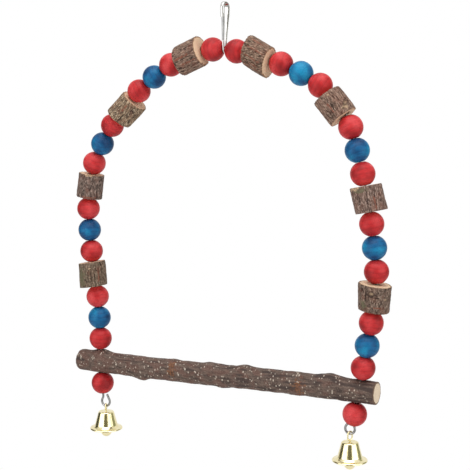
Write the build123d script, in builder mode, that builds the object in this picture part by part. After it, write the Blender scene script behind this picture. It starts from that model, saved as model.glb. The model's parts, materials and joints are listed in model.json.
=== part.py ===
from build123d import *
from math import asin, cos, degrees, exp, radians, remainder, sin, sqrt
import os

os.makedirs("parts", exist_ok=True)

# A bird's swing, in millimetres, with +Z up, X along the perch and Y from front to back.
# The origin is the centre of the cage bar that the clip hangs on.

# Wire arch: the slope of its top under the clip, then each bend from the clip down
# as a length of wire and its turn in degrees. Below the last bend each leg is straight.
WIRE_DIAMETER = 1.6
TOP_SLOPE = 5.9
LEFT_BENDS = [(34.4, 31.2), (101.8, 40.9), (27.9, 24.5), (54.6, 8.6), (35.9, -7.3)]
RIGHT_BENDS = [(74.0, 27), (33.0, 39), (92.0, 13.5), (21.5, 14.4)]

# Beads: stained balls cut flat where the bore comes out
BEAD_DIAMETER = 16
BEAD_FLAT = 5.8
BEAD_PLAY = 1.6
BORE_BREAK = 0.3

# Bark blocks from the clip down: length, width at the upper end, width at the lower end,
# rise of the knot halfway down and the way it faces (0 is the back, 90 the right, 180 the front)
LEFT_BLOCKS = [
    (17.1, 20.8, 20.8, 0.3, 200),
    (16.4, 19.0, 18.7, 0.4, 30),
    (16.7, 17.8, 18.0, 0.3, 120),
    (17.2, 19.4, 20.2, 0.5, 20),
]
RIGHT_BLOCKS = [
    (17.3, 20.3, 20.7, 0.3, 250),
    (17.1, 18.9, 19.1, 0.7, 110),
    (16.6, 20.3, 20.5, 0.5, 300),
    (17.4, 22.1, 20.5, 0.6, 200),
]

# The bores were drilled by eye. How far the middle of each block's upper end and of its lower
# end lies off the bore: to the back, then across the bore in the plane of the arch
LEFT_OFFSETS = [
    ((-1.2, 0.4), (-1.1, 1.9)),
    ((1.7, 2.0), (-1.2, 1.9)),
    ((0.4, 0.9), (0.0, 1.5)),
    ((-0.8, -0.2), (-0.6, -1.8)),
]
RIGHT_OFFSETS = [
    ((0.1, 1.9), (-1.2, -2.2)),
    ((-1.8, -3.2), (0.7, -3.3)),
    ((0.0, 0.1), (1.2, 0.8)),
    ((-0.3, -1.3), (2.3, -0.8)),
]
BLOCK_OVAL = 0.025
BLOCK_LOBES = 0.015
BLOCK_TURN = 75
KNOT_SPREAD = 35
BLOCK_PLAY = 2.6

# Order of the pieces on each leg from the clip down to the perch
GROUP = ["red_bead", "blue_bead", "red_bead"]
KINDS = ["red_bead", "bark_block"] + (GROUP + ["bark_block"]) * 3 + GROUP

# Perch: a branch. Each knot is its place along the branch from midway between the holes,
# its rise, its half length and the way it faces (90 is up, -90 down, 180 to the front).
PERCH_DIAMETER = 15
PERCH_LEFT_END = 18.4
PERCH_RIGHT_END = 12.2
PERCH_WANDER = 0.4
PERCH_ROUNDING = 2.6
SAW_BREAK = 0.5
PERCH_PLAY = 0.8
SEAT_KNOT_RISE = 1.9
SEAT_KNOT_REACH = 6
KNOTS = [
    (-63, 1.7, 5, -90),
    (-39, 0.7, 5, 130),
    (-10, 0.9, 5, 90),
    (1, 1.1, 4, -90),
    (17, 1.4, 5, 90),
    (54, 0.7, 5, 170),
    (78, 1.7, 7, 90),
]

# Clip: a steel strip bent into a hook over the bar and an eye round the wire
CLIP_DROP = 27
SADDLE_RADIUS = 3.3
STRIP_THICKNESS = 1.0
STRIP_WIDE = 4.2
STRIP_TIP = 2.0
STRIP_EYE = 1.4
EYE_LEG = 6
TIP_LENGTH = 5.5
GATE_THICKNESS = 0.8
GATE_WIDTH = 1.8
GATE_OVERLAP = 1.8

# Open eye at each end of the wire: its run from the last bead, where a negative one starts inside
# the bead's bore, and the flare outwards before it turns in
EYE_INSIDE = 5.0
LEFT_EYE_RUN = 2.2
RIGHT_EYE_RUN = -1.6
LEFT_EYE_FLARE = 36
RIGHT_EYE_FLARE = 45
EYE_CLOSE = 25
EYE_END_GAP = 0.8

# Bells: each crown's drop below the wire, then the shell, its hanger and its clapper
LEFT_DROP = 3.8
RIGHT_DROP = 5.2
CROWN_DIAMETER = 10.8
SHOULDER_RADIUS = 1.3
WAIST_DIAMETER = 16.2
WAIST_HEIGHT = 2.8
WAIST_RADIUS = 1.6
RIM_DIAMETER = 23.2
BELL_HEIGHT = 12.8
BELL_WALL = 0.8
HANGER_WIRE = 1.0
HANGER_EYE = 2.8
HANGER_SHOW = 0.5
INNER_EYE = 2.2
CLAPPER_WIRE = 0.9
CLAPPER_EYE = 2.2
CLAPPER_BALL = 7.6
CLAPPER_SHOW = 5.8
LEFT_BELL_TURN = 20
RIGHT_BELL_TURN = -28

# Clearances
CLIP_GAP = 0.4
STRAND_GAP = 0.15
EYE_GAP = 0.35
LINK_GAP = 0.25
SLIDE_GAP = 0.15

wire_radius = WIRE_DIAMETER / 2
bead_radius = BEAD_DIAMETER / 2
flat_angle = asin(BEAD_FLAT / BEAD_DIAMETER)
bead_length = BEAD_DIAMETER * cos(flat_angle)
perch_radius = PERCH_DIAMETER / 2
eye_radius = EYE_INSIDE / 2 + wire_radius


def bead_reach(tilt):
    """How far a bead reaches from its centre towards a face tilted to its bore by tilt."""
    return bead_radius * cos(max(flat_angle - tilt, 0))


def draw_leg(side, bends, run):
    """Draw one leg of the wire from the clip down: its bends in turn, then a straight run."""
    end = (0, -CLIP_DROP)
    way = (side * cos(radians(TOP_SLOPE)), -side * sin(radians(TOP_SLOPE)))
    for length, turn in bends:
        bend = JernArc(end, way, length / radians(abs(turn)), -side * turn)
        end = bend @ 1
        way = bend % 1
    return Line(end, end + way * run)


def string_pieces(side, bends, blocks):
    """Place each piece of one leg after the one above it, as distances along the wire.

    Two beads meet along the chord between them. A bead meets a block on the block's
    flat end, which is tilted to the bead's bore by the whole bend between the two.
    """

    def slope(distance):
        angle = side * TOP_SLOPE
        for length, turn in bends:
            angle += turn * min(max(distance, 0), length) / length
            distance -= length
        return radians(angle)

    place = bead_radius
    for _ in range(4):
        place = STRIP_EYE / 2 + CLIP_GAP + bead_reach(abs(slope(place)))
    places = [place]
    for number, pair in enumerate(zip(KINDS, KINDS[1:])):
        step = bead_length
        for _ in range(4):
            tilt = abs(slope(place + step) - slope(place))
            if "bark_block" in pair:
                block = blocks[KINDS[: number + 2].count("bark_block") - 1][0]
                chord = (block / 2 + bead_reach(tilt) + STRAND_GAP) / cos(tilt / 2)
            else:
                chord = 2 * bead_reach(tilt / 2) + STRAND_GAP
            step = chord / (1 - tilt**2 / 24)
        place += step
        places.append(place)
    return places, slope(place)


LEGS = {"left": (-1, LEFT_BENDS, LEFT_BLOCKS), "right": (1, RIGHT_BENDS, RIGHT_BLOCKS)}
offsets = {"left": LEFT_OFFSETS, "right": RIGHT_OFFSETS}
seat_rises = {"left": SEAT_KNOT_RISE, "right": 0}
eye_starts = {
    "left": (LEFT_EYE_RUN, LEFT_EYE_FLARE),
    "right": (RIGHT_EYE_RUN, RIGHT_EYE_FLARE),
}
bell_hangs = {"left": (LEFT_DROP, LEFT_BELL_TURN), "right": (RIGHT_DROP, RIGHT_BELL_TURN)}

# Places of the pieces, the perch holes and the straight ends of both legs
planes = {}
holes = {}
runs = {}
for leg, (side, bends, blocks) in LEGS.items():
    places, final = string_pieces(side, bends, blocks)
    lean = final - radians(90)
    seat = (bead_reach(abs(lean)) + STRAND_GAP + perch_radius) / cos(lean)
    hole = places[-1] + seat + seat_rises[leg] / cos(lean)
    places += [hole + seat, hole]
    runs[leg] = hole + seat + bead_length / 2 - sum(length for length, turn in bends)
    with BuildLine(Plane.XZ) as guide:
        draw_leg(side, bends, runs[leg])
    course = guide.wire()
    flip = (course @ 0 - Vector(0, 0, -CLIP_DROP)).length > wire_radius
    for number, place in enumerate(places, 1):
        along = course.length - place if flip else place
        spot = course.position_at(along, PositionMode.LENGTH)
        way = course.tangent_at(along, PositionMode.LENGTH) * (-1 if flip else 1)
        planes[leg, number] = Plane(spot, x_dir=(0, 1, 0), z_dir=way)
    holes[leg] = planes.pop((leg, len(places)))

# Arch wire: both legs from the clip, each ending in an open eye below its last bead
pivots = {}
with BuildPart() as arch_wire:
    with BuildLine(Plane.XZ) as arch_line:
        for leg, (side, bends, blocks) in LEGS.items():
            eye_run, outward = eye_starts[leg]
            straight = draw_leg(side, bends, runs[leg] + eye_run)
            flare = JernArc(straight @ 1, straight % 1, eye_radius, side * outward)
            turn = outward + 180 + EYE_CLOSE
            eye = JernArc(flare @ 1, flare % 1, eye_radius, -side * turn)
            offset = eye @ 1 - planes[leg, len(KINDS) + 1].origin
            toward = -offset.dot(eye % 1)
            clear = (bead_radius + EYE_END_GAP) ** 2
            reach = toward - sqrt(toward**2 + clear - offset.dot(offset))
            Line(eye @ 1, eye @ 1 + (eye % 1) * reach)
            pivots[leg] = eye.arc_center - Vector(0, 0, eye_radius)
    course = arch_line.wire()
    with BuildSketch(Plane(course @ 0, z_dir=course % 0)):
        Circle(wire_radius)
    sweep(path=course)
arch_wire.part.label = "arch_wire"
export_step(arch_wire.part, "parts/arch_wire.step")


def draw_section(plane, width, rise, facing, turn):
    """Draw a block's section: a slightly oval, slightly lobed ring with one knot on it."""
    points = []
    for angle in range(0, 360, 30):
        across = remainder(angle - facing, 360)
        shape = 1 + BLOCK_OVAL * cos(radians(2 * (angle - turn)))
        shape += BLOCK_LOBES * cos(radians(3 * angle + turn))
        radius = width / 2 * shape + rise * exp(-((across / KNOT_SPREAD) ** 2))
        points.append((radius * cos(radians(angle)), radius * sin(radians(angle))))
    with BuildSketch(plane) as section:
        with BuildLine():
            Spline(*points, periodic=True)
        make_face()
    return section.sketch


def cross_section(plane, along, offset):
    """The plane across a bore at a place along it, with its origin moved off the bore."""
    return Plane(plane.from_local_coords(Vector(*offset, along)), plane.x_dir, plane.z_dir)


# Beads and bark blocks
for leg, (side, bends, blocks) in LEGS.items():
    cut = iter(zip(blocks, offsets[leg]))
    for number, kind in enumerate(KINDS + ["red_bead"], 1):
        plane = planes[leg, number]
        if kind == "bark_block":
            (length, upper, lower, rise, facing), (above, below) = next(cut)
            turn = BLOCK_TURN * number
            halfway = [(high + low) / 2 for high, low in zip(above, below)]
            top = cross_section(plane, -length / 2, above)
            waist = cross_section(plane, 0, halfway)
            foot = cross_section(plane, length / 2, below)
            sections = [
                draw_section(top, upper, 0, facing, turn),
                draw_section(waist, (upper + lower) / 2, rise, facing, turn),
                draw_section(foot, lower, 0, facing, turn),
            ]
            with BuildPart() as piece:
                loft(sections)
                with Locations(plane):
                    Cylinder((WIRE_DIAMETER + BLOCK_PLAY) / 2, 2 * length, mode=Mode.SUBTRACT)
        else:
            with BuildPart() as piece:
                with Locations(plane):
                    Sphere(bead_radius)
                    Cylinder(bead_radius, bead_length, mode=Mode.INTERSECT)
                    Cylinder((WIRE_DIAMETER + BEAD_PLAY) / 2, BEAD_DIAMETER, mode=Mode.SUBTRACT)
                bore = piece.faces().filter_by(GeomType.CYLINDER).edges().filter_by(GeomType.CIRCLE)
                chamfer(bore, BORE_BREAK)
        piece.part.label = f"{leg}_{number:02d}_{kind}"
        export_step(piece.part, f"parts/{piece.part.label}.step")

# Perch: rings of the branch drawn across the line between the two holes
middle = (holes["left"].origin + holes["right"].origin) / 2
branch = (holes["right"].origin - holes["left"].origin).normalized()
half_span = (holes["right"].origin - holes["left"].origin).length / 2
ends = [-half_span - PERCH_LEFT_END, half_span + PERCH_RIGHT_END]
swellings = [(-half_span, SEAT_KNOT_RISE, SEAT_KNOT_REACH, 90)] + KNOTS
spacing = min(reach for knot, rise, reach, facing in swellings)
count = round((ends[1] - ends[0]) / spacing)


def branch_ring(place):
    """Centre and radius of the branch at a place along it, swollen and pushed out by its knots."""
    radius = perch_radius
    shift = Vector(0, PERCH_WANDER * sin(radians(180 * place / half_span)))
    for knot, rise, reach, facing in swellings:
        swell = rise / 2 * exp(-(((place - knot) / reach) ** 2))
        radius += swell
        shift += Vector(cos(radians(facing)), sin(radians(facing))) * swell
    across = Plane(middle + branch * place, x_dir=(0, 1, 0), z_dir=branch)
    return Plane(across.from_local_coords(shift), x_dir=(0, 1, 0), z_dir=branch), radius


with BuildPart() as perch:
    for step in range(count + 1):
        ring, radius = branch_ring(ends[0] + (ends[1] - ends[0]) * step / count)
        with BuildSketch(ring):
            Circle(radius)
    loft()
    caps = perch.faces().filter_by(GeomType.PLANE).sort_by(Axis.X)
    chamfer(caps[-1].edges(), SAW_BREAK)
    ring, radius = branch_ring(ends[0])
    with BuildSketch(Plane(ring.origin, x_dir=branch, z_dir=(0, -1, 0))):
        with BuildLine():
            edge = (0, radius - PERCH_ROUNDING)
            flank = (1.25 * PERCH_ROUNDING, radius + 0.15 * PERCH_ROUNDING)
            RadiusArc(edge, flank, 1.25 * PERCH_ROUNDING)
            Polyline(
                flank,
                (flank[0], 3 * radius),
                (2 * ends[1] - 2 * ends[0], 3 * radius),
                (2 * ends[1] - 2 * ends[0], 0),
                (0, 0),
                edge,
            )
        make_face()
    revolve(axis=Axis(ring.origin, branch), mode=Mode.INTERSECT)
    with Locations(holes["left"], holes["right"]):
        Cylinder((WIRE_DIAMETER + PERCH_PLAY) / 2, 3 * PERCH_DIAMETER, mode=Mode.SUBTRACT)
perch.part.label = "perch"
export_step(perch.part, "parts/perch.step")

# Clip hook: the strip runs from a short front leg, round under the wire, up the back,
# over the bar and down to the tip in front of the gate
eye_bend = wire_radius + EYE_GAP + STRIP_THICKNESS / 2
hook_bend = SADDLE_RADIUS + STRIP_THICKNESS / 2
limb = sqrt(CLIP_DROP**2 - (hook_bend - eye_bend) ** 2)
splay = asin((hook_bend - eye_bend) / CLIP_DROP)
limb_up = Vector(-sin(splay), cos(splay))
limb_in = Vector(cos(splay), sin(splay))
limb_foot = Vector(0, -CLIP_DROP) - limb_in * eye_bend
with BuildPart() as clip_hook:
    with BuildLine(Plane.YZ) as strip_line:
        leg_top = limb_foot + limb_up * EYE_LEG
        front = Line((leg_top.X, leg_top.Y), (limb_foot.X, limb_foot.Y))
        under = JernArc(front @ 1, front % 1, eye_bend, 180 - 2 * degrees(splay))
        back = Line(under @ 1, under @ 1 + (under % 1) * limb)
        over = JernArc(back @ 1, back % 1, hook_bend, 180 + 2 * degrees(splay))
        Line(over @ 1, over @ 1 + (over % 1) * TIP_LENGTH)
    course = strip_line.wire()
    with BuildSketch(Plane(course @ 0, x_dir=(1, 0, 0), z_dir=course % 0)):
        Rectangle(STRIP_WIDE, STRIP_THICKNESS)
    sweep(path=course)
    top = hook_bend + STRIP_THICKNESS
    foot = -CLIP_DROP - eye_bend - STRIP_THICKNESS
    with BuildSketch(Plane.XZ):
        Polygon(
            (-STRIP_WIDE / 2, top),
            (-STRIP_WIDE / 2, -SADDLE_RADIUS),
            (-STRIP_EYE / 2, -CLIP_DROP + BEAD_FLAT),
            (-STRIP_EYE / 2, foot),
            (STRIP_EYE / 2, foot),
            (STRIP_EYE / 2, -CLIP_DROP + BEAD_FLAT),
            (STRIP_WIDE / 2, -SADDLE_RADIUS),
            (STRIP_WIDE / 2, top),
            align=None,
        )
    extrude(amount=2 * top, both=True, mode=Mode.INTERSECT)
    with BuildSketch(Plane.XY):
        Polygon(
            (-STRIP_TIP / 2, -top),
            (STRIP_TIP / 2, -top),
            (STRIP_WIDE / 2, top),
            (-STRIP_WIDE / 2, top),
            align=None,
        )
    extrude(amount=2 * CLIP_DROP, both=True, mode=Mode.INTERSECT)
clip_hook.part.label = "clip_hook"
export_step(clip_hook.part, "parts/clip_hook.step")

# Clip gate: the springy front limb, from its bend above the eye to behind the hook's tip
gate_root = limb_foot + limb_up * (EYE_LEG + SLIDE_GAP + GATE_THICKNESS / 2)
tip_end = limb_foot + limb_up * (limb - TIP_LENGTH)
behind = tip_end + limb_in * ((STRIP_THICKNESS + GATE_THICKNESS) / 2 + SLIDE_GAP)
gate_way = (behind - gate_root).normalized()
gate_end = behind + gate_way * GATE_OVERLAP
with BuildPart() as clip_gate:
    with BuildSketch(Plane.YZ):
        with BuildLine():
            gate_line = Line((gate_root.X, gate_root.Y), (gate_end.X, gate_end.Y))
        SlotArc(gate_line, GATE_THICKNESS)
    extrude(amount=GATE_WIDTH / 2, both=True)
    with BuildSketch(Plane.XZ):
        Polygon(
            (-STRIP_EYE / 2, gate_root.Y - GATE_THICKNESS),
            (STRIP_EYE / 2, gate_root.Y - GATE_THICKNESS),
            (GATE_WIDTH / 2, gate_end.Y + GATE_THICKNESS),
            (-GATE_WIDTH / 2, gate_end.Y + GATE_THICKNESS),
            align=None,
        )
    extrude(amount=2 * top, both=True, mode=Mode.INTERSECT)
clip_gate.part.label = "clip_gate"
export_step(clip_gate.part, "parts/clip_gate.step")


def draw_bell(half_plane, crown, inset):
    """Draw half of a bell's filled outline, the given inset inside its outer skin."""
    top = crown - inset
    rim = crown - BELL_HEIGHT
    lip = RIM_DIAMETER / 2 - inset
    with BuildSketch(half_plane) as outline:
        with BuildLine():
            Polyline(
                (0, top),
                (CROWN_DIAMETER / 2 - inset, top),
                (WAIST_DIAMETER / 2 - inset, rim + WAIST_HEIGHT),
                (lip, rim + BELL_WALL - inset),
                (lip, rim - inset),
                (0, rim - inset),
                close=True,
            )
        make_face()
        corners = outline.vertices().sort_by(Axis.Y)
        fillet(corners[-3], WAIST_RADIUS + inset)
        shoulder = outline.vertices().group_by(Axis.Y)[-1].sort_by(Axis.X)[-1]
        fillet(shoulder, SHOULDER_RADIUS - inset)
    return outline.sketch


# Bells: the hanger's stem is drawn down a little thinner than its two eyes
hanger_bend = (HANGER_EYE + HANGER_WIRE) / 2
stem_radius = 0.45 * HANGER_WIRE
bells = {}
for leg, (drop, bell_turn) in bell_hangs.items():
    turn = (cos(radians(bell_turn)), sin(radians(bell_turn)), 0)
    bell = Plane(pivots[leg], x_dir=turn, z_dir=(0, 0, 1))
    half_plane = Plane(bell.origin, x_dir=bell.x_dir, z_dir=-bell.y_dir)
    eye_top = wire_radius + LINK_GAP
    eye_foot = HANGER_SHOW + HANGER_WIRE - drop
    inner = -drop - BELL_WALL - SLIDE_GAP - HANGER_WIRE - INNER_EYE / 2
    link = inner - (INNER_EYE + HANGER_WIRE) / 2
    eye = link + HANGER_WIRE / 2 + LINK_GAP - CLAPPER_EYE / 2
    ball = -drop - BELL_HEIGHT - CLAPPER_SHOW + CLAPPER_BALL / 2
    bells[leg] = bell, bell.from_local_coords((0, 0, link))

    with BuildPart() as shell:
        revolve(draw_bell(half_plane, -drop, 0), axis=Axis(bell.origin, bell.z_dir))
        hollow = draw_bell(half_plane, -drop, BELL_WALL)
        revolve(hollow, axis=Axis(bell.origin, bell.z_dir), mode=Mode.SUBTRACT)
        with Locations(bell):
            Cylinder(stem_radius + SLIDE_GAP, 4 * drop, mode=Mode.SUBTRACT)
    shell.part.label = f"{leg}_bell_shell"
    export_step(shell.part, f"parts/{leg}_bell_shell.step")

    with BuildPart() as hanger:
        with BuildLine(Plane(bell.origin, x_dir=bell.y_dir, z_dir=bell.x_dir)) as eye_line:
            over = CenterArc((0, eye_top - HANGER_EYE / 2), hanger_bend, 0, 180)
            under = CenterArc((0, eye_foot + HANGER_EYE / 2), hanger_bend, 180, 180)
            Line(over @ 1, under @ 0)
            Line(under @ 1, over @ 0)
        course = eye_line.wire()
        with BuildSketch(Plane(course @ 0, z_dir=course % 0)):
            Circle(HANGER_WIRE / 2)
        sweep(path=course)
        with Locations(bell.offset(inner)):
            Torus((INNER_EYE + HANGER_WIRE) / 2, HANGER_WIRE / 2, rotation=(90, 0, 0))
        stem_top = eye_foot - HANGER_WIRE / 4
        stem_foot = inner + (INNER_EYE + HANGER_WIRE) / 2
        with Locations(bell.offset((stem_top + stem_foot) / 2)):
            Cylinder(stem_radius, stem_top - stem_foot)
    hanger.part.label = f"{leg}_bell_hanger"
    export_step(hanger.part, f"parts/{leg}_bell_hanger.step")

    with BuildPart(bell) as clapper:
        with Locations((0, 0, eye)):
            Torus((CLAPPER_EYE + CLAPPER_WIRE) / 2, CLAPPER_WIRE / 2, rotation=(0, 90, 0))
        stem_top = eye - (CLAPPER_EYE + CLAPPER_WIRE) / 2
        with Locations((0, 0, (stem_top + ball) / 2)):
            Cylinder(CLAPPER_WIRE / 2, stem_top - ball)
        with Locations((0, 0, ball)):
            Sphere(CLAPPER_BALL / 2)
    clapper.part.label = f"{leg}_clapper"
    export_step(clapper.part, f"parts/{leg}_clapper.step")
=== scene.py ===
# %% [markdown]
# # A bird's swing, dressed for its portrait
#
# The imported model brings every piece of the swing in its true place: a spring clip, a bent wire
# arch, a branch for a perch, beads and bark blocks on the wire, and two small bells. This lesson
# keeps those places and gives each piece the surface that the real one has. The pieces are worked
# out in millimetres and turned to metres when a mesh is made.

import json
import math
from functools import partial

import bpy
import numpy as np
from mathutils import Matrix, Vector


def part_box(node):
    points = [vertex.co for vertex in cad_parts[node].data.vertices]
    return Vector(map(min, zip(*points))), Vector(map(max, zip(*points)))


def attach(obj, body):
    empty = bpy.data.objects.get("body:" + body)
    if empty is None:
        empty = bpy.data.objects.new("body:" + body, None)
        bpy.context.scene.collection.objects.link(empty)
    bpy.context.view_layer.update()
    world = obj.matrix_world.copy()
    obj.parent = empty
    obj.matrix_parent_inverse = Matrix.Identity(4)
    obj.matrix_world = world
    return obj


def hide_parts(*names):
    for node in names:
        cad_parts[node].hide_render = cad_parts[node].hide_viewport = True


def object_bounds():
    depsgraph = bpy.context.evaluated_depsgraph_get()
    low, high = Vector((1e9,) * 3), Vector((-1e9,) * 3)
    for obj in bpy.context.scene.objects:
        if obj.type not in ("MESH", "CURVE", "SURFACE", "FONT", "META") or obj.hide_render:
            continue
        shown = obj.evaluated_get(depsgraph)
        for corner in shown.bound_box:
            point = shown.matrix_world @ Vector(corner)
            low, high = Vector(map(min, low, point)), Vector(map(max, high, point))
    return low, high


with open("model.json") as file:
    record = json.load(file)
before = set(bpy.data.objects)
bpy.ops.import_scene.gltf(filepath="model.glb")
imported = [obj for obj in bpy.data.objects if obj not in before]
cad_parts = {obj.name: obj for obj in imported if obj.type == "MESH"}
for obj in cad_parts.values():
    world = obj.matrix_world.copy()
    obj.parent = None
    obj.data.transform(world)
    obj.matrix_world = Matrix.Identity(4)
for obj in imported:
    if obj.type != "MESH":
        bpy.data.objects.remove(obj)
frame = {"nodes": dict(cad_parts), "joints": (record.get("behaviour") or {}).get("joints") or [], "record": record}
cad_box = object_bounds()
MM = 0.001
joints = {joint["name"]: joint for joint in frame["joints"]}

# %% [markdown]
# ## Measuring the frame
#
# A good habit is to measure what is already there and not to type it again. Each strung piece
# turns on the wire, so its joint tells where its centre is and which way its bore runs. Three
# axes at that place, to the back, across and along the bore, make every strung piece look the
# same to the code, wherever the wire carries it.

# %% Places and axes of the strung pieces


def unit(vectors):
    """Vectors divided by their own lengths."""
    return vectors / np.linalg.norm(vectors, axis=-1, keepdims=True)


def node_points(node):
    """Every vertex of a CAD node, in millimetres."""
    vertices = frame["nodes"][node].data.vertices
    flat = np.empty(3 * len(vertices), np.float32)
    vertices.foreach_get("co", flat)
    return flat.reshape(-1, 3).astype(float) / MM


def node_box(node):
    """Lowest and highest corner of a CAD node, in millimetres."""
    return tuple(np.array(corner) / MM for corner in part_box(node))


def strand_axes(joint):
    """Centre of a strung piece, and its unit axes: to the back, across the bore and along it."""
    along = unit(np.array(joint["axis"], float))
    back = np.array((0.0, 1.0, 0.0))
    return np.array(joint["pos_m"], float) / MM, np.stack((back, np.cross(along, back), along))


strung = {}
for name in frame["nodes"]:
    body = "_".join(name.split("_")[:2])
    if f"{body}_spin" in joints:
        strung[name] = body, *strand_axes(joints[f"{body}_spin"])


def strung_points(node):
    """Vertices of a strung piece on its own axes, and how far each lies from the bore's axis."""
    _, centre, axes = strung[node]
    local = (node_points(node) - centre) @ axes.T
    return local, np.hypot(local[:, 0], local[:, 1])


print("strung pieces:", len(strung))

# %% [markdown]
# ## From numbers to a mesh
#
# Every new surface here is a grid of points: rows run along the piece and columns run round it.
# A turned piece carries an outline round an axis, and its rows close in a loop. A long piece is a
# row of rings, and a fan of triangles closes each end.

# %% Grids


def unit_ring(columns):
    """Angles in even steps round a circle, and the point (cosine, sine) of each."""
    angle = np.linspace(0, 2 * np.pi, columns, endpoint=False)
    return angle, np.stack((np.cos(angle), np.sin(angle)), -1)


def carry_round(outline, columns):
    """Points of an outline carried round Z: its radius times a unit ring, at its own height."""
    rings = outline[:, None, :1] * unit_ring(columns)[1]
    return np.dstack((rings, np.repeat(outline[:, 1:], columns, 1))).reshape(-1, 3)


def grid_faces(rows, columns, loop=False):
    """Quads of a grid whose columns close in a ring, and whose rows close too if loop is set.

    The point in a row and a column has the number row * columns + column.
    """
    row, column = np.arange(rows if loop else rows - 1)[:, None], np.arange(columns)
    here, below, beside = row * columns, (row + 1) % rows * columns, (column + 1) % columns
    corners = here + column, here + beside, below + beside, below + column
    return np.stack(corners, -1).reshape(-1, 4)


def capped(rings):
    """Points and faces of a row of rings: its grid, and at each end a fan round the ring's mean."""
    rows, columns = rings.shape[:2]
    points = np.concatenate((rings.reshape(-1, 3), [rings[0].mean(0), rings[-1].mean(0)]))
    first = np.arange(columns)
    last = first + (rows - 1) * columns
    fans = [
        np.stack((ring, np.roll(ring, -1), np.full(columns, pole)), -1)
        for ring, pole in ((first[::-1], rows * columns), (last, rows * columns + 1))
    ]
    return points, [grid_faces(rows, columns), *fans]


print("faces of 3 rings of 8 points:", len(grid_faces(3, 8)))

# %% [markdown]
# A closed surface has a signed volume, which is negative when its faces point inwards, so the
# function that makes a mesh object can turn such a surface round by itself. It also ties the
# object to its body and to the CAD node that it stands for.

# %% Pieces


def signed_volume(points, faces):
    """Volume inside the faces: the sum of the tetrahedra from the origin to their triangles."""
    first, *others = np.moveaxis(points[faces], 1, 0)
    return sum((first * np.cross(b, c)).sum() for b, c in zip(others, others[1:])) / 6


def add_piece(name, points, faces, body, materials, attributes=(), finishes=None, sharp=40):
    """A closed mesh at the origin that rides on a body and stands for the node of its own name.

    Edges that bend by more than the angle sharp, in degrees, stay crisp. All others are smooth.
    """
    if sum(signed_volume(points, part) for part in faces) < 0:
        faces = [part[:, ::-1] for part in faces]
    mesh = bpy.data.meshes.new(name)
    mesh.from_pydata(points * MM, [], [face for part in faces for face in part.tolist()])
    for attribute, values in dict(attributes).items():
        kind, field = ("FLOAT_VECTOR", "vector") if values.ndim == 2 else ("FLOAT", "value")
        stored = mesh.attributes.new(attribute, kind, "POINT")
        stored.data.foreach_set(field, values.astype(np.float32).ravel())
    for material in materials:
        mesh.materials.append(material)
    if finishes is not None:
        mesh.polygons.foreach_set("material_index", finishes.astype(np.int32))
    mesh.shade_smooth()
    mesh.set_sharp_from_angle(angle=math.radians(sharp))
    piece = bpy.data.objects.new(f"{name}_dressed", mesh)
    bpy.context.scene.collection.objects.link(piece)
    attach(piece, body)
    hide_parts(name)


# %% [markdown]
# ## Roughness that looks grown
#
# Wood and bark are never quite smooth. The sum of many cosine waves of about one length, each in
# its own random direction, makes a soft noise that works on whole arrays. A soft step turns such
# a noise into patches with blurred edges.

# %% Soft noise


def soft_noise(points, size, seed, count=40):
    """About -1 to 1: a sum of cosine waves of about one size, over the root of half their count."""
    rng = np.random.default_rng(seed)
    way = unit(rng.normal(size=(count, 3)))
    number = 2 * np.pi / (size * rng.uniform(0.7, 1.5, (count, 1)))
    phase = rng.uniform(0, 2 * np.pi, count)
    return np.cos(points @ (way * number).T + phase).sum(-1) / math.sqrt(count / 2)


def noises(points, layers, shift=0):
    """Sum of soft noises, each (weight, squeeze along the axes, size, seed before the shift)."""
    return sum(
        weight * soft_noise(points * squeeze, size, seed + shift)
        for weight, squeeze, size, seed in layers
    )


def soft_step(values, low, high):
    """0 below low and 1 above high, with the smooth cubic 3t^2 - 2t^3 between them."""
    t = np.clip((values - low) / (high - low), 0, 1)
    return t * t * (3 - 2 * t)


print("soft noise at three places:", soft_noise(np.eye(3), 1.0, 0).round(2))

# %% [markdown]
# ## Shader helpers
#
# Colours are picked as sRGB hex codes, as in any paint program, but light adds up in linear
# values, so one function converts them. A second one adds a shader node, sets its options, feeds
# its sockets and gives back one of its outputs, which keeps each finish short enough to read.

# %% Colours and nodes

# Numbers of the sockets of a Mix node that mixes colours
FACTOR, FIRST, SECOND, MIXED = 0, 6, 7, 2
# Spacing of a Wave texture's bands at a scale of 1
WAVE_PERIOD = 2 * math.pi / 20


def colour(code):
    """Linear RGBA of an sRGB hex code: each value v is v / 12.92 when dark, else a 2.4 power."""
    srgb = np.array([int(code[k : k + 2], 16) for k in (1, 3, 5)]) / 255
    linear = np.where(srgb <= 0.04045, srgb / 12.92, ((srgb + 0.055) / 1.055) ** 2.4)
    return (*linear.tolist(), 1.0)


def add_node(tree, kind, inputs=(), output=0, **options):
    """Add a shader node, set its options, link or set its inputs, and give one output, if any."""
    node = tree.nodes.new("ShaderNode" + kind)
    for option, value in options.items():
        setattr(node, option, value)
    for socket, value in dict(inputs).items():
        if isinstance(value, bpy.types.NodeSocket):
            tree.links.new(value, node.inputs[socket])
        else:
            node.inputs[socket].default_value = value
    return node.outputs[output] if node.outputs else None


print("middle grey in linear light:", round(colour("#808080")[0], 3))

# %% [markdown]
# Every finish is built like paint: a ground colour, thin tints over it where a pattern is strong,
# and a shader with a fine bump. Written down once, that leaves each finish only its patterns and
# its colours.

# %% Layers of a finish

WOOD_IOR = 1.5


def start_nodes(holder):
    """Clear the node tree of a material or world, and give the function that adds nodes to it."""
    holder.use_nodes = True
    holder.node_tree.nodes.clear()
    return partial(add_node, holder.node_tree)


def new_finish(name):
    """A material without nodes, and the function that adds nodes to it."""
    material = bpy.data.materials.new(name)
    return material, start_nodes(material)


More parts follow.
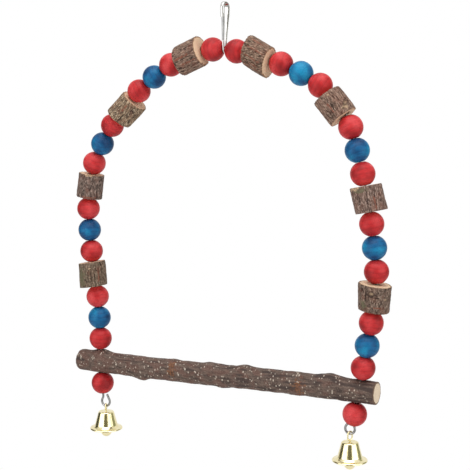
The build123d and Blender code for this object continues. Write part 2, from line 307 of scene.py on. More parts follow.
def lay_tints(add, ground, tints):
    """A ground colour under tints, each given as (value, hex code, start, end, most).

    A tint's share grows evenly from 0 to its most while its value goes from start to end, or is
    the value itself if no limits are given. The colour becomes (1 - share) * below + share * tint.
    """
    for value, tint, *limits in tints:
        start, end, most = limits or (0.0, 1.0, 1.0)
        limits = {"From Min": start, "From Max": end, "To Max": most}
        share = add("MapRange", {"Value": value, **limits})
        layers = {FACTOR: share, FIRST: ground, SECOND: colour(tint)}
        ground = add("Mix", layers, MIXED, data_type="RGBA")
    return ground


def end_finish(add, tint, roughness, height, strength, depth, gloss=None):
    """End a finish: wood with a gloss or bare metal, bumped by a height of some millimetres."""
    kind = {"Specular IOR Level": gloss, "IOR": WOOD_IOR} if gloss else {"Metallic": 1.0}
    bump = add("Bump", {"Height": height, "Strength": strength, "Distance": depth * MM})
    look = {"Base Color": tint, "Roughness": roughness, "Normal": bump, **kind}
    add("OutputMaterial", {"Surface": add("BsdfPrincipled", look)})


# %% [markdown]
# ## Stained wooden beads
#
# The beads are turned from a pale hardwood and dyed with a thin water stain, then tumbled to a
# dull satin. The stain sinks deeper into the soft early wood, so growth rings show as darker
# bands, and it is uneven from side to side. The pattern reads an attribute called grain: each
# bead's own coordinates in millimetres, turned at random, so no two beads are cut from the same
# spot of the plank.

# %% Finish of the beads

RING_SPACING = 3.0
FIBRE_WIDTH = 0.6
FIBRE_STRETCH = (0.1, 1.0, 1.0)
BLOTCH_SIZE = 10.0
STAIN_AND_HIGHLIGHT_PULL = -0.1
STAIN_ROUGHNESS = (0.38, 0.56)


def stained_wood(name, deep, stain, pale, fading):
    """Water-stained turned wood: faint rings, fibres along the grain, pale thin stain and painted highlight."""
    material, add = new_finish(name)
    grain = add("Attribute", output="Vector", attribute_name="grain")
    stain_and_highlight = add("Attribute", output="Fac", attribute_name="stain_and_highlight")
    blotches = add("TexNoise", {"Vector": grain, "Scale": 1 / BLOTCH_SIZE, "Detail": 1.5})
    # Blotches of thin stain, shifted for each bead; on the pale beads the shift is a painted highlight
    paleness = add("Math", {0: stain_and_highlight, 1: STAIN_AND_HIGHLIGHT_PULL, 2: blotches}, operation="MULTIPLY_ADD")
    uneven = {"Distortion": 2.4, "Detail": 2.0, "Detail Scale": 1.3, "Detail Roughness": 0.6}
    rings = add(
        "TexWave", {"Vector": grain, "Scale": WAVE_PERIOD / RING_SPACING, **uneven}, "Fac",
        wave_type="RINGS", rings_direction="X", wave_profile="SAW",
    )
    drawn_out = add("Mapping", {"Vector": grain, "Scale": FIBRE_STRETCH})
    fibres = add("TexNoise", {"Vector": drawn_out, "Scale": 1 / FIBRE_WIDTH, "Detail": 3.0})
    dyed = lay_tints(add, colour(stain), [
        (rings, deep, 0.5, 1.0, 0.42),
        (paleness, pale, 0.48, 0.68, fading),
        (paleness, deep, 0.47, 0.32, 0.75),
        (fibres, deep, 0.5, 0.76, 0.5),
    ])
    smooth, rough = STAIN_ROUGHNESS
    satin = add("MapRange", {"Value": fibres, "To Min": smooth, "To Max": rough})
    end_finish(add, dyed, satin, fibres, strength=0.2, depth=0.06, gloss=0.22)
    return material


# A dull satin sheen over colour that is never quite even
bead_finishes = {
    "red": stained_wood("red_water_stained_hardwood_satin", "#80161A", "#B82629", "#D4484A", 0.75),
    "blue": stained_wood("blue_water_stained_hardwood_satin", "#062C55", "#0B5A8A", "#1487B2", 0.9),
}
print("bead finishes:", [material.name for material in bead_finishes.values()])

# %% [markdown]
# ## Turning the beads
#
# A bead could be a plain ball, but a real one is cut flat where the drill goes in, its edges are
# softened by tumbling, and its bore can be seen from the end. So its outline is drawn once as a
# closed loop, up the bore, across the flat, round the outside and back, and carried round the
# bore. Radius, flat and bore are measured on the CAD bead itself.

# %% Outline of a bead

BALL_ROWS = 40
FLAT_SOFTENING = 0.5
MOUTH_BREAK = 0.3
# How far below the flat the ball's round begins
RIM_DROP = 0.12


def bead_outline(radius, flat, bore, half):
    """Closed loop of (radius, height): half the bore, the upper flat, the ball and the same below.

    The ball's points are radius * (sine, cosine) of an angle that goes from one flat to the other.
    """
    first = math.acos((half - RIM_DROP) / radius)
    sweep = np.linspace(first, math.pi - first, BALL_ROWS)
    ball = radius * np.stack((np.sin(sweep), np.cos(sweep)), -1)
    wall = [(bore, 0.0), (bore, half - MOUTH_BREAK), (bore + MOUTH_BREAK, half)]
    upper = np.array(wall + [((flat + bore) / 2, half), (flat - FLAT_SOFTENING, half)])
    lower = (upper * (1, -1))[:0:-1]
    return np.concatenate((upper, ball, lower))


# %% [markdown]
# Each bead is a little out of round, and its grain is turned and shifted at random. The shift is
# the way to the pith of the tree: when that is far, the rings cross the bead as nearly straight
# bands, and when it is near, they bend.

# %% Beads

BEAD_COLUMNS = 72
OUT_OF_ROUND = 0.05
ROUND_WAVE = 12.0
# Distances from the bore's axis between which the wobble of the outside sets in
WOBBLE_FROM, WOBBLE_TO = 2.5, 4.5
PITH_TIP = 0.25
PITH_SIDE = 14.0
PITH_NEAR, PITH_FAR = 12, 40
# Points this close to an end plane lie in it
PLANE_GAP = 0.01
# How much darker, up to 1, or paler, down to -1, each bead is than the others. left_08 and
# left_12 took more stain and right_04 less; left_09, left_15, right_11 and right_18 are paler
# as a painted highlight.
STAIN_AND_HIGHLIGHT = {
    "left_08": 1.0, "left_12": 0.8, "left_13": 0.4, "left_18": 0.6, "right_01": 0.7,
    "left_09": -0.9, "left_15": -0.7, "right_04": -0.6, "right_11": -0.6, "right_18": -0.9,
}

rng = np.random.default_rng(16)
for number, node in enumerate(sorted(strung)):
    if "bead" not in node:
        continue
    body, centre, axes = strung[node]
    local, distance = strung_points(node)
    radius, half = np.linalg.norm(local, axis=1).max(), local[:, 2].max()
    flat = distance[local[:, 2] > half - PLANE_GAP].max()
    outline = bead_outline(radius, flat, distance.min(), half)
    shape = carry_round(outline, BEAD_COLUMNS)
    outside = soft_step(np.hypot(shape[:, 0], shape[:, 1]), WOBBLE_FROM, WOBBLE_TO)
    wobble = outside * (0.5 + 0.5 * soft_noise(shape, ROUND_WAVE, number))
    shape *= 1 - OUT_OF_ROUND / radius * wobble[:, None]
    spin, tip = rng.uniform(0, 2 * np.pi), rng.normal(0, PITH_TIP)
    to_pith = np.array((0.0, PITH_SIDE * math.sin(tip), rng.uniform(PITH_NEAR, PITH_FAR)))
    c, s = math.cos(spin), math.sin(spin)
    swirl = np.array(((c, -s, 0), (s, c, 0), (0, 0, 1)))
    dye = "blue" if "blue" in node else "red"
    # Each bead's darker or paler shift, on the pale beads a painted highlight
    stain_and_highlight = np.full(len(shape), STAIN_AND_HIGHLIGHT.get(body, 0.0))
    add_piece(
        node, centre + shape @ axes, [grid_faces(len(outline), BEAD_COLUMNS, loop=True)],
        body, [bead_finishes[dye]],
        {"grain": shape @ swirl + to_pith, "stain_and_highlight": stain_and_highlight},
    )
beads = sum("bead" in node for node in strung)
print("beads:", beads, "of", len(outline), "by", BEAD_COLUMNS, "points")

# %% [markdown]
# ## Bark and sawn wood
#
# The blocks are short lengths of a branch with the bark left on. Bark has pale ridges and dark
# furrows that follow the branch, patches where it was rubbed, and small scars. The finish reads
# five attributes that the mesh brings: scar for reddish rubbed bark, bare for wood without bark,
# moss for a green film, one for sunk cracks and the collar round a knot, whose dark tone there is
# painted shade, and furrow for the depth of the relief. Its grain follows the piece's own axis
# through the attribute grain.

# %% Finish of the bark

# Drawn coarser than on the real bark, so that the flecks show at this size
FLECK_SIZE = 0.85
THREAD_SIZE = 0.35
PATCH_SIZE = 5.0
FLECK_STRETCH = (1.0, 1.0, 0.2)
GRAIN_STRETCH = (1.2, 1.2, 0.4)
FURROW_PULL = 0.06
MARK_BASE = 0.25
THREAD_SHARE = 0.75
SCAR, BARE, MOSS = "#7E4A3A", "#BFA384", "#65624B"


def bark(name, dark, mid, light):
    """Weathered branch bark: flecks and threads along the branch, tinted patches, rubbed ridges."""
    material, add = new_finish(name)
    grain = add("Attribute", output="Vector", attribute_name="grain")
    furrow = add("Attribute", output="Fac", attribute_name="furrow")
    along = add("Mapping", {"Vector": grain, "Scale": FLECK_STRETCH})
    across = add("Mapping", {"Vector": grain, "Scale": GRAIN_STRETCH})
    fleck = {"Scale": 1 / FLECK_SIZE, "Detail": 3.0, "Roughness": 0.6}
    flecks = add("TexNoise", {"Vector": along, **fleck})
    grains = add("TexNoise", {"Vector": across, **fleck})
    patches = add("TexNoise", {"Vector": grain, "Scale": 1 / PATCH_SIZE, "Detail": 3.0})
    thread = {"Scale": 1 / THREAD_SIZE, "Detail": 5.0, "Roughness": 0.7}
    threads = add("TexNoise", {"Vector": along, **thread})
    depth = add("Math", {0: furrow, 1: FURROW_PULL, 2: flecks}, operation="MULTIPLY_ADD")
    tints = [
        (depth, mid, 0.38, 0.56, 1.0),
        (grains, light, 0.5, 0.66, 0.85),
        (patches, SCAR, 0.5, 0.72, 0.3),
    ]
    broken = add("Math", {0: grains, 1: MARK_BASE}, operation="ADD")
    # The last mark gives cracks and knot collars the darkest tone, as painted shade
    for mark, tint in (("moss", MOSS), ("scar", SCAR), ("bare", BARE), ("crack_shade", dark)):
        amount = add("Attribute", output="Fac", attribute_name=mark)
        tints.append((add("Math", {0: amount, 1: broken}, operation="MULTIPLY"), tint))
    tinted = lay_tints(add, colour(dark), tints)
    layers = {FACTOR: THREAD_SHARE, FIRST: tinted, SECOND: threads}
    threaded = add("Mix", layers, MIXED, data_type="RGBA", blend_type="OVERLAY")
    relief = add("Math", {0: threads, 1: 0.5, 2: flecks}, operation="MULTIPLY_ADD")
    end_finish(add, threaded, 0.82, relief, strength=0.7, depth=0.3, gloss=0.2)
    return material


# %% [markdown]
# Sawn ends show a thin brown ring of bark round pale wood with growth rings. An attribute called
# inset, the distance in from the bark, makes that simple: the bark is where inset is small, and
# the sine of inset draws the rings.

# %% Finish of the sawn ends

RING_DRIFT = 0.45
DRIFT_SIZE = 0.9
SAW_SPACING = 0.7
EDGE_BLUR = 0.5
# A depth that no block has, because the drill took its pith
NO_PITH = 99.0


def sawn_end(name, wood, ring, rim, bark_depth, ring_spacing, pith):
    """A sawn branch end: brown bark at the rim, then pale wood with rings and fine saw marks."""
    material, add = new_finish(name)
    inset = add("Attribute", output="Fac", attribute_name="inset")
    grain = add("Attribute", output="Vector", attribute_name="grain")
    fuzz = add("TexNoise", {"Vector": grain, "Scale": 1 / DRIFT_SIZE, "Detail": 3.0})
    drift = add("MapRange", {"Value": fuzz, "To Min": -RING_DRIFT, "To Max": RING_DRIFT})
    place = add("Math", {0: inset, 1: drift}, operation="ADD")
    year = add("Math", {0: place, 1: 2 * math.pi / ring_spacing}, operation="MULTIPLY")
    swing = add("Math", {0: year}, operation="SINE")
    sawn = lay_tints(add, colour(wood), [
        (swing, ring, 0.1, 1.0, 0.5),
        (place, rim, bark_depth + EDGE_BLUR, bark_depth, 1.0),
        (place, rim, pith, pith + EDGE_BLUR, 0.6),
    ])
    teeth = {"Vector": grain, "Scale": WAVE_PERIOD / SAW_SPACING, "Distortion": 1.0}
    cuts = add("TexWave", teeth, "Fac", bands_direction="X")
    end_finish(add, sawn, 0.72, cuts, strength=0.3, depth=0.08, gloss=0.25)
    return material


# Matt and pale, with faint rings and a brown line of bark at the rim
block_end = sawn_end("sawn_branch_block_end", "#DFC8A8", "#CFB189", "#9A7B5C", 0.6, 1.6, NO_PITH)
print("sawn finish:", block_end.name)

# %% [markdown]
# ## Shape of the bark blocks
#
# A block could be a cylinder with noise on it, but no branch is quite round or straight. So the
# round of each block comes from the CAD block by a least squares fit: its middle runs straight
# from one sawn end to the other, and its radius is a sum of waves round that middle.

# %% Fit of a round

BLOCK_ROWS = 90
BLOCK_LOBES = 5
# Points further out than this many bore radii lie on the bark
BARK_FROM = 1.5


def lobes(angle, count):
    """The columns 1, cos(angle), sin(angle), cos(2 angle), sin(2 angle) and so on."""
    waves = np.arange(1, count + 1) * angle[:, None]
    pairs = np.stack((np.cos(waves), np.sin(waves)), -1).reshape(len(angle), -1)
    return np.concatenate((np.ones((len(angle), 1)), pairs), 1)


def fit_round(basis, angle, radius, count):
    """Least squares weights that give a round surface's radius as basis x lobes of its angle."""
    columns = (basis[:, :, None] * lobes(angle, count)[:, None, :]).reshape(len(angle), -1)
    steady = 1e-3 * np.eye(columns.shape[1])
    wanted = np.concatenate((radius, np.zeros(len(steady))))
    weights = np.linalg.lstsq(np.concatenate((columns, steady)), wanted, rcond=None)[0]
    return weights.reshape(basis.shape[1], -1)


def ring_middle(points):
    """Middle of a ring of points: the best circle x^2 + y^2 = 2ax + 2by + c through them."""
    columns = np.column_stack((2 * points, np.ones(len(points))))
    return np.linalg.lstsq(columns, (points**2).sum(1), rcond=None)[0][:2]


def fit_block(node, angle):
    """Heights of a block's rows, each row's middle and radii, and the radius of the bore.

    The radius is fitted as (1, z, z^2) x lobes of the angle.
    """
    local, distance = strung_points(node)
    half, bore = local[:, 2].max(), distance.min()
    skin = local[distance > BARK_FROM * bore]
    ends = [skin[np.abs(skin[:, 2] - z) < PLANE_GAP, :2] for z in (-half, half)]
    upper, lower = map(ring_middle, ends)
    middle, lean = (upper + lower) / 2, (lower - upper) / (2 * half)
    off = skin[:, :2] - middle - lean * skin[:, 2:]
    powers, around = np.arange(3), np.arctan2(off[:, 1], off[:, 0])
    weights = fit_round(skin[:, 2:] ** powers, around, np.hypot(*off.T), BLOCK_LOBES)
    rows = half * np.linspace(-1, 1, BLOCK_ROWS)[:, None]
    return rows, middle + lean * rows, rows**powers @ weights @ lobes(angle, BLOCK_LOBES).T, bore


sides = fit_block("left_02_bark_block", unit_ring(4)[0])[2][BLOCK_ROWS // 2]
print("radii half way up a block, on four sides:", sides.round(2), "mm")

# %% [markdown]
# Each block was cut from another piece of branch, so each has its own bark tones and its own
# marks. A mark is a kind of damage with a place: how far round from the front in degrees, how
# far down from the middle, and half its width and length, all in millimetres but the angle.
# Cracks are sunk and also painted dark as shade, and so is the collar round a knot.

# %% Marks of the blocks

BLOCKS = {
    "left_02": (("#3A2C26", "#7A6154", "#AE9480"), [
        ("scar", 4, 3.0, 0.7, 7.0), ("scar", 30, -2.0, 0.6, 5.0), ("crack_shade", 12, 2.0, 0.35, 5.0)]),
    "left_06": (("#3B2F27", "#7E6853", "#C8B398"), [
        ("scar", 12, -2.5, 0.5, 4.0), ("crack_shade", 28, 3.0, 0.4, 4.0)]),
    "left_10": (("#302723", "#66554D", "#A48F83"), [
        ("bare", 14, -8.0, 3.0, 0.6), ("scar", 30, 7.2, 4.0, 0.6)]),
    "left_14": (("#332921", "#6A594A", "#A4907C"), [
        ("moss", -24, 1.5, 3.0, 7.0), ("bare", 20, -4.6, 1.2, 0.4), ("scar", 56, 2.0, 0.5, 4.0),
        ("crack_shade", 26, 1.0, 0.4, 4.0), ("crack_shade", 40, 2.0, 0.35, 3.0)]),
    "right_02": (("#382B22", "#735A4C", "#B09680"), [
        ("scar", -8, -2.0, 0.5, 8.0), ("scar", -30, 0.0, 0.4, 8.0), ("scar", -46, 2.0, 0.5, 6.0),
        ("scar", 60, 0.0, 0.45, 6.0), ("scar", 24, 1.0, 0.4, 7.0)]),
    "right_06": (("#3D2E27", "#7B6154", "#B39886"), [
        ("bare", 48, 5.6, 2.0, 1.4), ("knot", 58, 3.2, 2.2, 1.6), ("crack_shade", 40, 6.0, 0.9, 0.6),
        ("bare", 22, -6.4, 0.8, 0.6), ("scar", 0, 2.0, 0.4, 5.0)]),
    "right_10": (("#3A2C28", "#735C51", "#B69D90"), [
        ("bare", -28, -7.4, 3.4, 1.1), ("moss", -10, -6.0, 4.5, 1.4), ("scar", 40, 3.0, 0.5, 5.0)]),
    "right_14": (("#332722", "#6A574C", "#A89382"), [
        ("knot", 8, -4.4, 2.6, 1.7), ("bare", 58, -1.2, 0.8, 0.5), ("scar", 30, 4.6, 3.0, 0.5),
        ("crack_shade", 22, -2.0, 2.4, 0.4), ("crack_shade", -12, -2.6, 0.4, 3.0), ("moss", -22, 4.0, 2.2, 2.2)]),
}
# What each kind of mark adds to the bark's height
MARK_HEIGHT = {"scar": 0.1, "bare": -0.3, "moss": 0.0, "crack_shade": -0.35}
MARK_EDGE = ((0.3, 1, 2.2, 5),)
KNOT_RISE = 0.7
BOWL_DEPTH = 0.9
BOWL_SHARE = 0.55
BOWL_BARE = 0.75


def spot(across, along, half_width, half_length, edge=0.35, ragged=0.0):
    """1 inside an ellipse of these half sizes and 0 outside, blurred by edge, pushed by ragged."""
    distance = np.hypot(across / half_width, along / half_length) + ragged
    return 1 - soft_step(distance, 1 - edge, 1 + edge)


def half_turn(angle):
    """The same angle, taken between minus and plus half a turn."""
    return np.remainder(angle + np.pi, 2 * np.pi) - np.pi


def block_marks(marks, angle, along, radius, points):
    """Values of each kind of mark on the bark, and the height in millimetres that the marks add.

    A mark is a spot with a ragged edge. A knot is a raised spot with a bare bowl sunk into it, and its collar is
    painted dark as shade.
    """
    values = {kind: np.zeros_like(radius) for kind in MARK_HEIGHT}
    height = np.zeros_like(radius)
    ragged = noises(points, MARK_EDGE)
    for kind, around, down, wide, tall in marks:
        across = radius * half_turn(np.pi - angle - math.radians(around))
        shape = spot(across, along - down, wide, tall, ragged=ragged)
        found = {kind: shape}
        if kind == "knot":
            bowl = spot(across, along - down, BOWL_SHARE * wide, BOWL_SHARE * tall, edge=0.5)
            height += KNOT_RISE * shape - BOWL_DEPTH * bowl
            # The knot's collar round its bowl is painted dark as shade, and the bowl is bare
            found = {"crack_shade": shape - bowl, "bare": BOWL_BARE * bowl}
        else:
            height += MARK_HEIGHT[kind] * shape
        for name, value in found.items():
            values[name] = np.maximum(values[name], value)
    return values, height


print("marks:", sum(len(marks) for _, marks in BLOCKS.values()), "on", len(BLOCKS), "blocks")

# %% [markdown]
# The bark's relief is added to the fitted round: furrows that are long in the direction of the
# branch, finer grains between them, a ragged edge at both saw cuts, and a dent or a swelling at
# each mark. Rings of points lead from the rim of each end to the bore, and the loop of rows
# closes through the bore.

# %% Bark blocks

BLOCK_COLUMNS = 220
END_RINGS = 14
HALF_RELIEF = 0.08
BARE_RELIEF = 0.3
EDGE_BREAK = 0.35
EDGE_REACH = 0.7
BARK_SINK = 0.1
FIRST_SEED = 40
GRAIN_SHIFT = 7.0
FURROWS = ((0.7, (1, 1, 0.28), 2.4, 0), (0.5, (1, 1, 0.5), 1.2, 9))
CHIPS = ((0.5, 1, 1.4, 3),)


def cap_rings(rim, inner, steps):
    """Rings of points that close an end: steps are the shares of the way from its rim to inner."""
    return rim + (inner - rim) * steps[:, None, None]


angle, ring = unit_ring(BLOCK_COLUMNS)
steps = np.linspace(0, 1, END_RINGS + 1)[1:]
total = BLOCK_ROWS + 2 * END_RINGS
# The first finish for the bark, and the second for the sawn ends and the bore
finishes = np.ones((total, BLOCK_COLUMNS))
finishes[END_RINGS : END_RINGS + BLOCK_ROWS - 1] = 0
for seed, (body, (tones, marks)) in enumerate(BLOCKS.items(), FIRST_SEED):
    node = f"{body}_bark_block"
    _, centre, axes = strung[node]
    rows, middles, smooth, bore = fit_block(node, angle)
    half, down = rows.max(), np.broadcast_to(rows, smooth.shape)
    place = np.dstack((smooth[:, :, None] * ring, down))
    furrow = noises(place, FURROWS, seed)
    masks, height = block_marks(marks, angle, down, smooth, place)
    near_edge = 1 - soft_step(half - np.abs(down), 0, EDGE_REACH)
    chipped = EDGE_BREAK * near_edge * (0.6 + noises(place, CHIPS, seed))
    relief = HALF_RELIEF * furrow * (1 - (1 - BARE_RELIEF) * masks["bare"])
    radius = smooth - BARK_SINK + relief + height - chipped
    skin = np.dstack((middles[:, None, :] + radius[:, :, None] * ring, down))
    rims = skin[0], skin[-1]
    mouths = [np.column_stack((bore * ring, np.full(BLOCK_COLUMNS, z))) for z in (-half, half)]
    caps = [cap_rings(rim, mouth, steps) for rim, mouth in zip(rims, mouths)]
    insets = [np.linalg.norm(cap - rim, axis=-1) for cap, rim in zip(caps, rims)]
    shape = np.concatenate((caps[0][::-1], skin, caps[1])).reshape(-1, 3)
    inset = np.concatenate((insets[0][::-1], np.zeros_like(smooth), insets[1])).ravel()
    attributes = {"grain": shape + seed * GRAIN_SHIFT, "inset": inset}
    for kind, values in {"furrow": furrow, **masks}.items():
        attributes[kind] = np.pad(values, ((END_RINGS, END_RINGS), (0, 0))).ravel()
    # Rough and dull, with dark furrows between pale worn ridges
    side_bark = bark(f"weathered_branch_bark_{body}", *tones)
    add_piece(
        node, centre + shape @ axes, [grid_faces(total, BLOCK_COLUMNS, loop=True)],
        body, [side_bark, block_end], attributes, finishes.ravel(), sharp=50,
    )
print("bark blocks:", len(BLOCKS), "of", total, "by", BLOCK_COLUMNS, "points")

# %% [markdown]
# ## The perch
#
# The perch is one branch with smooth young bark. Its many pale dots are lenticels, the pores of
# the bark, and the rusty patches are scars of side twigs. Both have height and colour, so each is
# computed once, as a value on the mesh, and used for both. Streaks and dust are too fine for the
# mesh, so the finish draws them.

# %% Finish of the perch

STREAK_WIDTH = 1.3
STREAK_STRETCH = (0.22, 1.0, 1.0)
DUST_SIZE = 0.7
PITH_DEPTH = 7.4


def branch_bark(name):
    """Smooth young bark: brown and grey streaks along X, pale lenticels and rusty twig scars."""
    material, add = new_finish(name)
    coords = add("TexCoord", output="Object")
    drawn_out = add("Mapping", {"Vector": coords, "Scale": STREAK_STRETCH})
    streak = {"Scale": 1 / (STREAK_WIDTH * MM), "Detail": 4.0, "Roughness": 0.62}
    streaks = add("TexNoise", {"Vector": drawn_out, **streak})
    dust = add("TexNoise", {"Vector": coords, "Scale": 1 / (DUST_SIZE * MM), "Detail": 3.0})
    rust, shade, scar, lenticel = (
        add("Attribute", output="Fac", attribute_name=mark)
        for mark in ("rust", "shade", "scar", "lenticel")
    )
    tinted = lay_tints(add, colour("#382C27"), [
        (streaks, "#6C5B51", 0.33, 0.67, 1.0),
        (rust, "#66443A"),
        (dust, "#87736A", 0.5, 0.72, 0.6),
        (shade, "#3A2F2C"),
        (scar, "#84573A"),
        (lenticel, "#D6C9B8"),
    ])
    end_finish(add, tinted, 0.74, dust, strength=0.45, depth=0.15, gloss=0.25)
    return material


# Smooth and a little duller than paint, grey-brown with pale dots
perch_bark = branch_bark("young_branch_bark_smooth")
# Fresher than the blocks' ends: paler wood and a thin dark line of bark
perch_end = sawn_end("sawn_perch_end_fresh", "#E6D3BA", "#D6BB98", "#6A5443", 0.45, 1.5, PITH_DEPTH)
print("perch finishes:", perch_bark.name, "and", perch_end.name)

# %% [markdown]
# The branch could be a bent cylinder with a few bumps, but then it would leave the CAD perch.
# Instead its radius is written as a sum of smooth bumps along X, each with a few waves round the
# branch, and least squares finds the size of every bump from the CAD perch's own points. The
# left end is worn round, and the right end is sawn square with a broken edge.

# %% Shape of the perch

PERCH_COLUMNS = 160
PERCH_STEP = 0.32
PERCH_LOBES = 3
BUMP_SPACING = 4.0
END_ROUNDING = 2.6
ROUNDING_ROWS = 10
# Points further out than this share of the usual radius lie on the bark, not in a hole
SKIN_SHARE = 0.85
# Lengths left out at the left and right end when the round is fitted, and when it is read
FIT_MARGIN = (0.5, 0.8)
READ_MARGIN = (0.6, 1.0)


def bumps(along, centres, spacing):
    """Cubic B-spline bumps: (4 - 6u^2 + 3u^3) / 6 within one spacing, (2 - u)^3 / 6 within two."""
    u = np.abs(along[:, None] - centres[None, :]) / spacing
    near = (4 - 6 * u**2 + 3 * u**3) / 6
    far = np.clip(2 - u, 0, None) ** 3 / 6
    return np.where(u < 1, near, far)


points = node_points("perch")
low, high = points[:, 0].min(), points[:, 0].max()
rounded = low + END_ROUNDING
middle = np.median(points[:, 1:], 0)
distance = np.hypot(*(points[:, 1:] - middle).T)
inner = (points[:, 0] > rounded + FIT_MARGIN[0]) & (points[:, 0] < high - FIT_MARGIN[1])
bark_points = inner & (distance > SKIN_SHARE * np.median(distance))
along, y, z = (points[bark_points] - (0, *middle)).T
centres = np.arange(low - BUMP_SPACING, high + 2 * BUMP_SPACING, BUMP_SPACING)
basis = bumps(along, centres, BUMP_SPACING)
weights = fit_round(basis, np.arctan2(z, y), np.hypot(y, z), PERCH_LOBES)

quarter = np.linspace(np.pi / 2, 0, ROUNDING_ROWS)
left_rows = low + END_ROUNDING * (1 - np.sin(quarter))
body_rows = np.arange(rounded + PERCH_STEP, high - EDGE_BREAK, PERCH_STEP)
rows = np.concatenate((left_rows, body_rows, [high - EDGE_BREAK, high]))
left_inset = END_ROUNDING * (1 - np.cos(quarter))
inset = np.concatenate((left_inset, np.zeros(len(body_rows)), [0, EDGE_BREAK]))
angle, ring = unit_ring(PERCH_COLUMNS)
read_at = np.clip(rows, rounded + READ_MARGIN[0], high - READ_MARGIN[1])
smooth = bumps(read_at, centres, BUMP_SPACING) @ weights @ lobes(angle, PERCH_LOBES).T
radii = smooth.min().round(2), smooth.max().round(2)
print("perch rows:", len(rows), "radius from", radii[0], "to", radii[1], "mm")

# %% [markdown]
# The lenticels are scattered at random over the unrolled bark, each one a small ellipse with its
# own size. Only the points of the grid that lie near a lenticel matter to it, so the code finds
# the grid cell of each one and works on the small window of cells round it, all lenticels at once.

# %% Lenticels of the perch

LENTICELS = 760
# Rows that stay free at the left and the right end
FREE_ROWS = (6, 10)
# Least and most of a lenticel's half length, its width over its length, and its strength
HALF_LONG = (0.2, 0.38)
ROUND_TO_LONG = (0.9, 1.9)
STRENGTH = (0.55, 1.0)
WINDOW = np.arange(-4, 5)

rng = np.random.default_rng(227)
share = rng.beta(1.1, 1.1, LENTICELS)
spot_row = (FREE_ROWS[0] + (len(rows) - sum(FREE_ROWS)) * share).astype(int)
spot_column = rng.integers(0, PERCH_COLUMNS, LENTICELS)
half_long = rng.uniform(*HALF_LONG, LENTICELS)
half_round = half_long * rng.uniform(*ROUND_TO_LONG, LENTICELS)
row_of = np.clip(spot_row[:, None, None] + WINDOW[:, None], 0, len(rows) - 1)
column_of = np.remainder(spot_column[:, None, None] + WINDOW, PERCH_COLUMNS)
jitter = rng.uniform(-0.5, 0.5, (2, LENTICELS, 1, 1))
away_long = (WINDOW[:, None] + jitter[0]) * PERCH_STEP
away_round = (WINDOW + jitter[1]) * 2 * np.pi * smooth.mean() / PERCH_COLUMNS
dots = spot(away_round, away_long, half_round[:, None, None], half_long[:, None, None], edge=0.45)
strength = rng.uniform(*STRENGTH, (LENTICELS, 1, 1))
lenticel = np.zeros_like(smooth)
np.maximum.at(lenticel, tuple(np.broadcast_arrays(row_of, column_of)), dots * strength)
print("lenticels:", LENTICELS, "cover", round(100 * lenticel.mean(), 1), "percent of the bark")

# %% [markdown]
# Twig scars are rusty and swell a little. Low ridges, shaded streaks and a rusty haze come from
# soft noise that is squeezed along the branch, so that it follows the grain.

# %% Scars and tints of the perch

# Place along X, degrees round from the front, half length along X and half width round the branch
SCARS = [(-38.0, 26, 2.2, 4.2), (-37.0, 0, 1.4, 2.2), (56.5, -2, 2.6, 4.6)]
SCAR_RISE = 0.25
SCAR_STRENGTH = 0.85
SCAR_EDGE = ((0.4, 1, 3.0, 8), (0.25, 1, 1.2, 9))
SCAR_MOTTLE = ((0.35, 1, 1.5, 12),)
SCAR_GRAIN = ((1.0, 1, 1.1, 11),)
RIDGES = ((0.09, (0.2, 1, 1), 1.8, 3), (0.07, (0.6, 1, 1), 5.0, 4))
# Noise, what a millimetre along X adds to it, the values from and to which a tint sets in, its most
TINTS = {
    "shade": (((1.0, (0.14, 1, 1), 3.2, 21),), 0.008, 0.6, 1.7, 0.8),
    "rust": (((1.0, (0.7, 1, 1), 6.0, 22),), -0.006, -0.3, 1.3, 0.42),
}

place = np.dstack((np.broadcast_to(rows[:, None], smooth.shape), smooth[:, :, None] * ring))
ragged = noises(place, SCAR_EDGE)
mottled = (0.8 + noises(place, SCAR_MOTTLE)).clip(0, 1)
scar, height = np.zeros_like(smooth), np.zeros_like(smooth)
for x, around, half_length, half_width in SCARS:
    across = smooth * half_turn(angle - np.pi + math.radians(around))
    shape = spot(across, place[:, :, 0] - x, half_width, half_length, edge=0.6, ragged=ragged)
    scar = np.maximum(scar, SCAR_STRENGTH * shape * mottled)
    height += SCAR_RISE * shape * (1 + noises(place, SCAR_GRAIN))
ridges = noises(place, RIDGES)
shade, rust = (
    most * soft_step(noises(place, layers) + drift * rows[:, None], start, end)
    for layers, drift, start, end, most in TINTS.values()
)
print("scars rise by", height.max().round(2), "mm, ridges by", ridges.max().round(2), "mm")

# %% [markdown]
# Last, the relief is added to the fitted radius and rings of points close both ends. The sawn
# finish of the right end needs to know how far each point lies from the bark.

# %% Perch

PERCH_SINK = 0.05
LENTICEL_RISE = 0.12
WORN_LENTICELS = 0.3
LEFT_SHADE = 0.2

radius = smooth - inset[:, None] - PERCH_SINK + ridges + height + LENTICEL_RISE * lenticel
skin = np.dstack((place[:, :, 0], middle + radius[:, :, None] * ring))
lenticel[: len(left_rows) // 2] *= WORN_LENTICELS
steps = np.linspace(0, 1, END_RINGS + 1)[1:-1]
left_cap = cap_rings(skin[0], skin[0].mean(0), steps)[::-1]
right_cap = cap_rings(skin[-1], skin[-1].mean(0), steps)
shape, faces = capped(np.concatenate((left_cap, skin, right_cap)))


def with_caps(values, left=0.0):
    """Values of the bark, then one value for the left cap and its pole, and 0 for the right one."""
    ends = ((left, 0.0), (0.0, 0.0))
    padded = np.pad(values, ((len(steps), len(steps)), (0, 0)), constant_values=ends)
    return np.append(padded, (left, 0.0))


# Distance in from the bark, on the right cap and its pole
from_bark = with_caps(np.zeros_like(smooth))
cap_insets = np.append(smooth[-1] * steps[:, None], [0.0, smooth[-1].mean()])
from_bark[-len(cap_insets) :] = cap_insets
